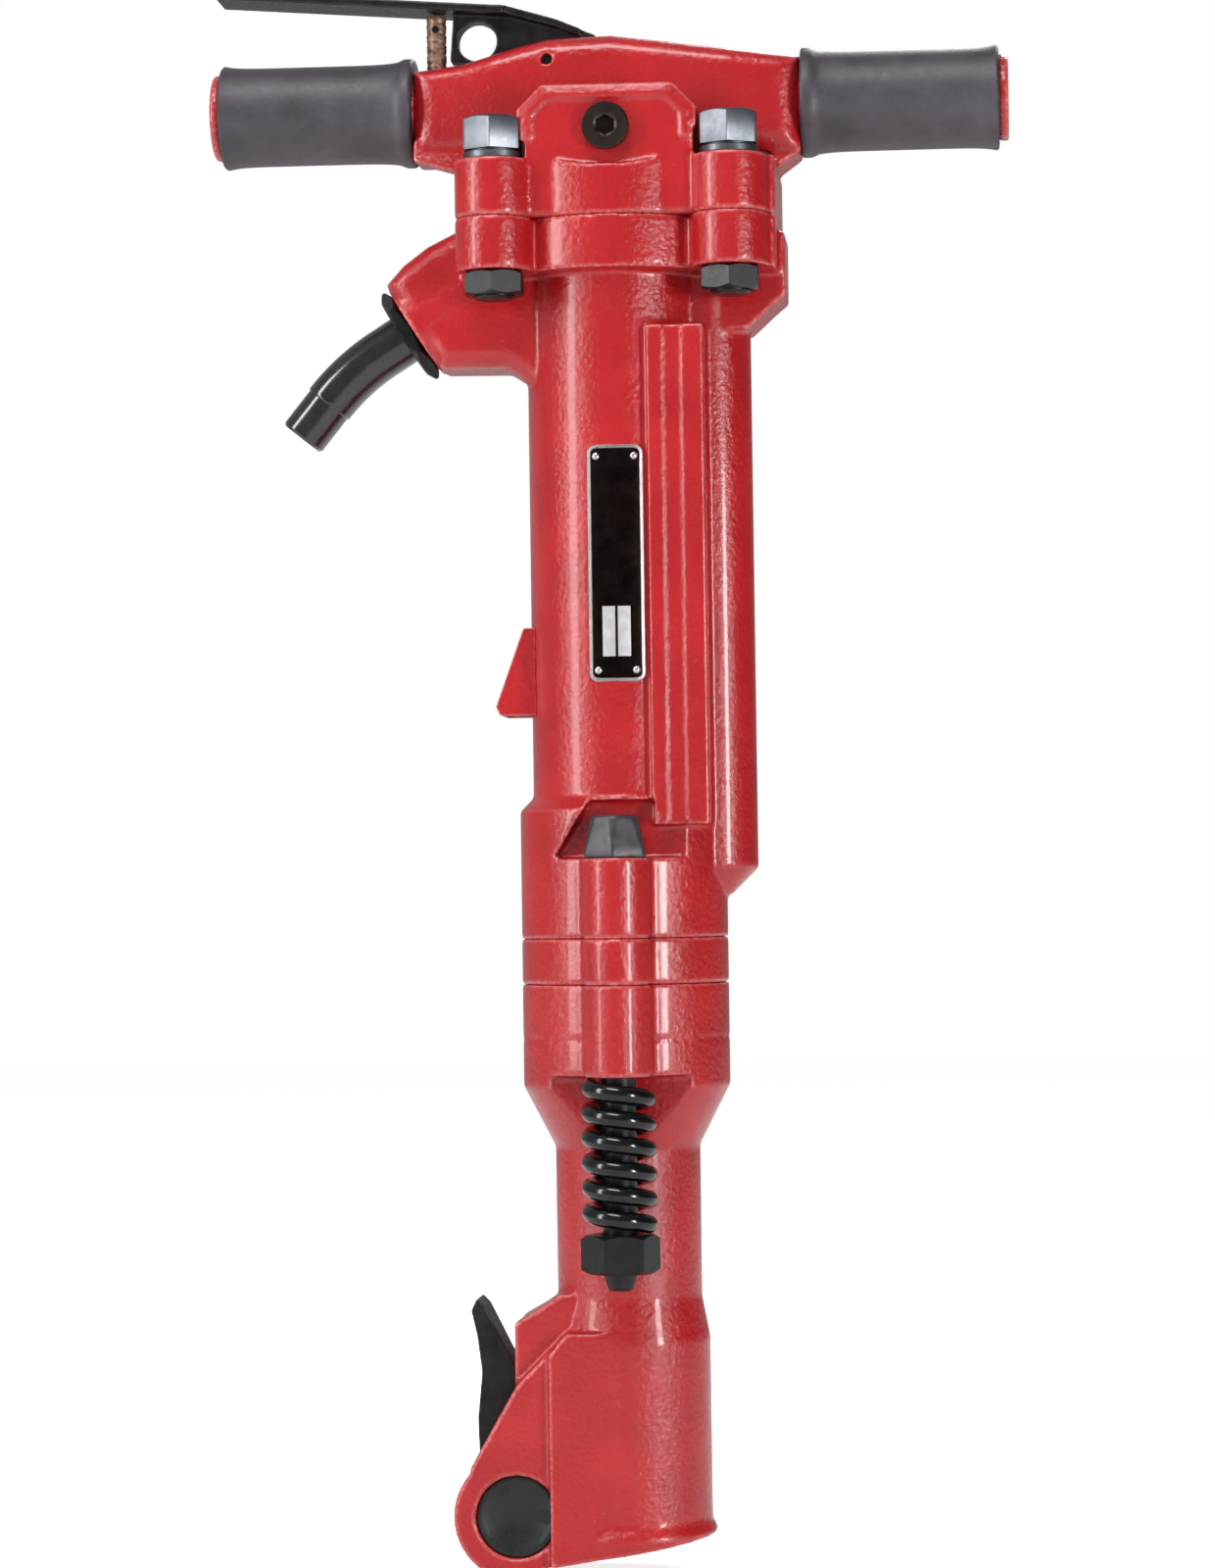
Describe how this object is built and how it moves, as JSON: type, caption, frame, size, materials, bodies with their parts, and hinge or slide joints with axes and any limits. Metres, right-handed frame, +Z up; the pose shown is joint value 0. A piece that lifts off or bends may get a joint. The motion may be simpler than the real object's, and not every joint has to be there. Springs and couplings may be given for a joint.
{
  "type": "pneumatic paving breaker",
  "caption": "Hand-held pneumatic paving breaker with a T handle, squeeze lever, bolted red castings, spring-loaded side rods and a tool retainer latch.",
  "frame": {"origin": "on the tool's axis, level with the lowest point of the nose's latch bosses", "axes": "+Z up along the tool's axis to the handle, X along the handle with the throttle lever at -X, -Y towards the front with the nameplate"},
  "size_m": [0.3566, 0.1332, 0.7086],
  "materials": {
    "red_enamel": "glossy red enamel over an as-cast skin",
    "black_phosphate": "satin black phosphate and oil on spring steel",
    "zinc_plated": "bright zinc plate",
    "black_oxide": "black oxide on forged steel",
    "hard_steel": "ground and hardened steel",
    "turned_steel": "turned steel",
    "grip_rubber": "dark grey moulded rubber",
    "seal_rubber": "black nitrile",
    "bronze": "machined bronze",
    "plate_metal": "dark anodised plate with a bare metal rim",
    "rivet_metal": "drawn aluminium",
    "strainer_mesh": "woven steel mesh"
  },
  "bodies": {
    "machine": {"backhead": "red_enamel", "left_grip": "grip_rubber", "right_grip": "grip_rubber", "lever_pin": "black_oxide", "throttle_seat": "bronze", "throttle_spring": "hard_steel", "throttle_plug": "black_oxide", "oil_plug": "black_oxide", "oil_plug_seal": "seal_rubber", "flange_bolts": "zinc_plated", "flange_washers": "black_oxide", "flange_nuts": "black_oxide", "valve_chest": "hard_steel", "valve_cap": "turned_steel", "valve_seat": "hard_steel", "valve_dowel": "hard_steel", "cylinder": "red_enamel", "anvil_housing": "red_enamel", "exhaust_hood": "red_enamel", "nameplate": "plate_metal", "nameplate_rivets": "rivet_metal", "inlet_swivel_nut": "black_oxide", "swivel_seal": "seal_rubber", "inlet_strainer": "strainer_mesh", "side_rods": "black_oxide", "side_rod_nuts": "black_oxide", "side_rod_springs": "black_phosphate"},
    "lever": {"throttle_lever": "black_oxide"},
    "throttle_stem": {"push_rod": "bronze", "throttle_valve": "hard_steel"},
    "distributor": {"distributor_valve": "hard_steel"},
    "hammer": {"piston": "hard_steel"},
    "striker": {"anvil": "hard_steel"},
    "front_head": {"fronthead": "red_enamel", "chuck_bushing": "turned_steel", "retainer_pin": "turned_steel", "retainer_plugs": "grip_rubber", "retainer_spring": "hard_steel"},
    "latch": {"retainer_latch": "black_oxide"},
    "detent": {"retainer_plunger": "hard_steel"},
    "swivel": {"swivel_nipple": "black_oxide"}
  },
  "joints": [
    {"name": "lever_pivot", "type": "hinge", "parent": "machine", "child": "lever", "pos_m": [-0.028, 0, 0.672], "axis": [0, -1, 0], "range_deg": [0, 8], "stiffness_Nm_per_rad": 12, "springref_deg": -3.44},
    {"name": "throttle_stroke", "type": "slide", "parent": "machine", "child": "throttle_stem", "axis": [0, 0, -1], "range_m": [0, 0.0075], "stiffness_N_per_m": 1500, "springref_m": -0.003, "deforming": ["throttle_spring"]},
    {"name": "distributor_stroke", "type": "slide", "parent": "machine", "child": "distributor", "axis": [0, 0, 1], "range_m": [0, 0.0025]},
    {"name": "piston_stroke", "type": "slide", "parent": "machine", "child": "hammer", "axis": [0, 0, 1], "range_m": [0, 0.148]},
    {"name": "anvil_stroke", "type": "slide", "parent": "machine", "child": "striker", "axis": [0, 0, 1], "range_m": [0, 0.01]},
    {"name": "front_head_recoil", "type": "slide", "parent": "machine", "child": "front_head", "axis": [0, 0, -1], "range_m": [0, 0.006], "stiffness_N_per_m": 200000, "springref_m": -0.004, "deforming": ["side_rod_springs"]},
    {"name": "latch_pivot", "type": "hinge", "parent": "front_head", "child": "latch", "pos_m": [-0.0489, 0, 0.028], "axis": [0, -1, 0], "range_deg": [0, 78]},
    {"name": "detent_stroke", "type": "slide", "parent": "front_head", "child": "detent", "axis": [0, 0, 1], "range_m": [0, 0.002], "stiffness_N_per_m": 2000, "springref_m": -0.004, "deforming": ["retainer_spring"]},
    {"name": "inlet_swivel", "type": "hinge", "parent": "machine", "child": "swivel", "pos_m": [-0.0905, 0, 0.5544], "axis": [-0.848, 0, -0.5299], "continuous": true}
  ],
  "couplings": [
    {"joint": "throttle_stroke", "follows": "lever_pivot", "m_per_rad": 0.0532}
  ]
}
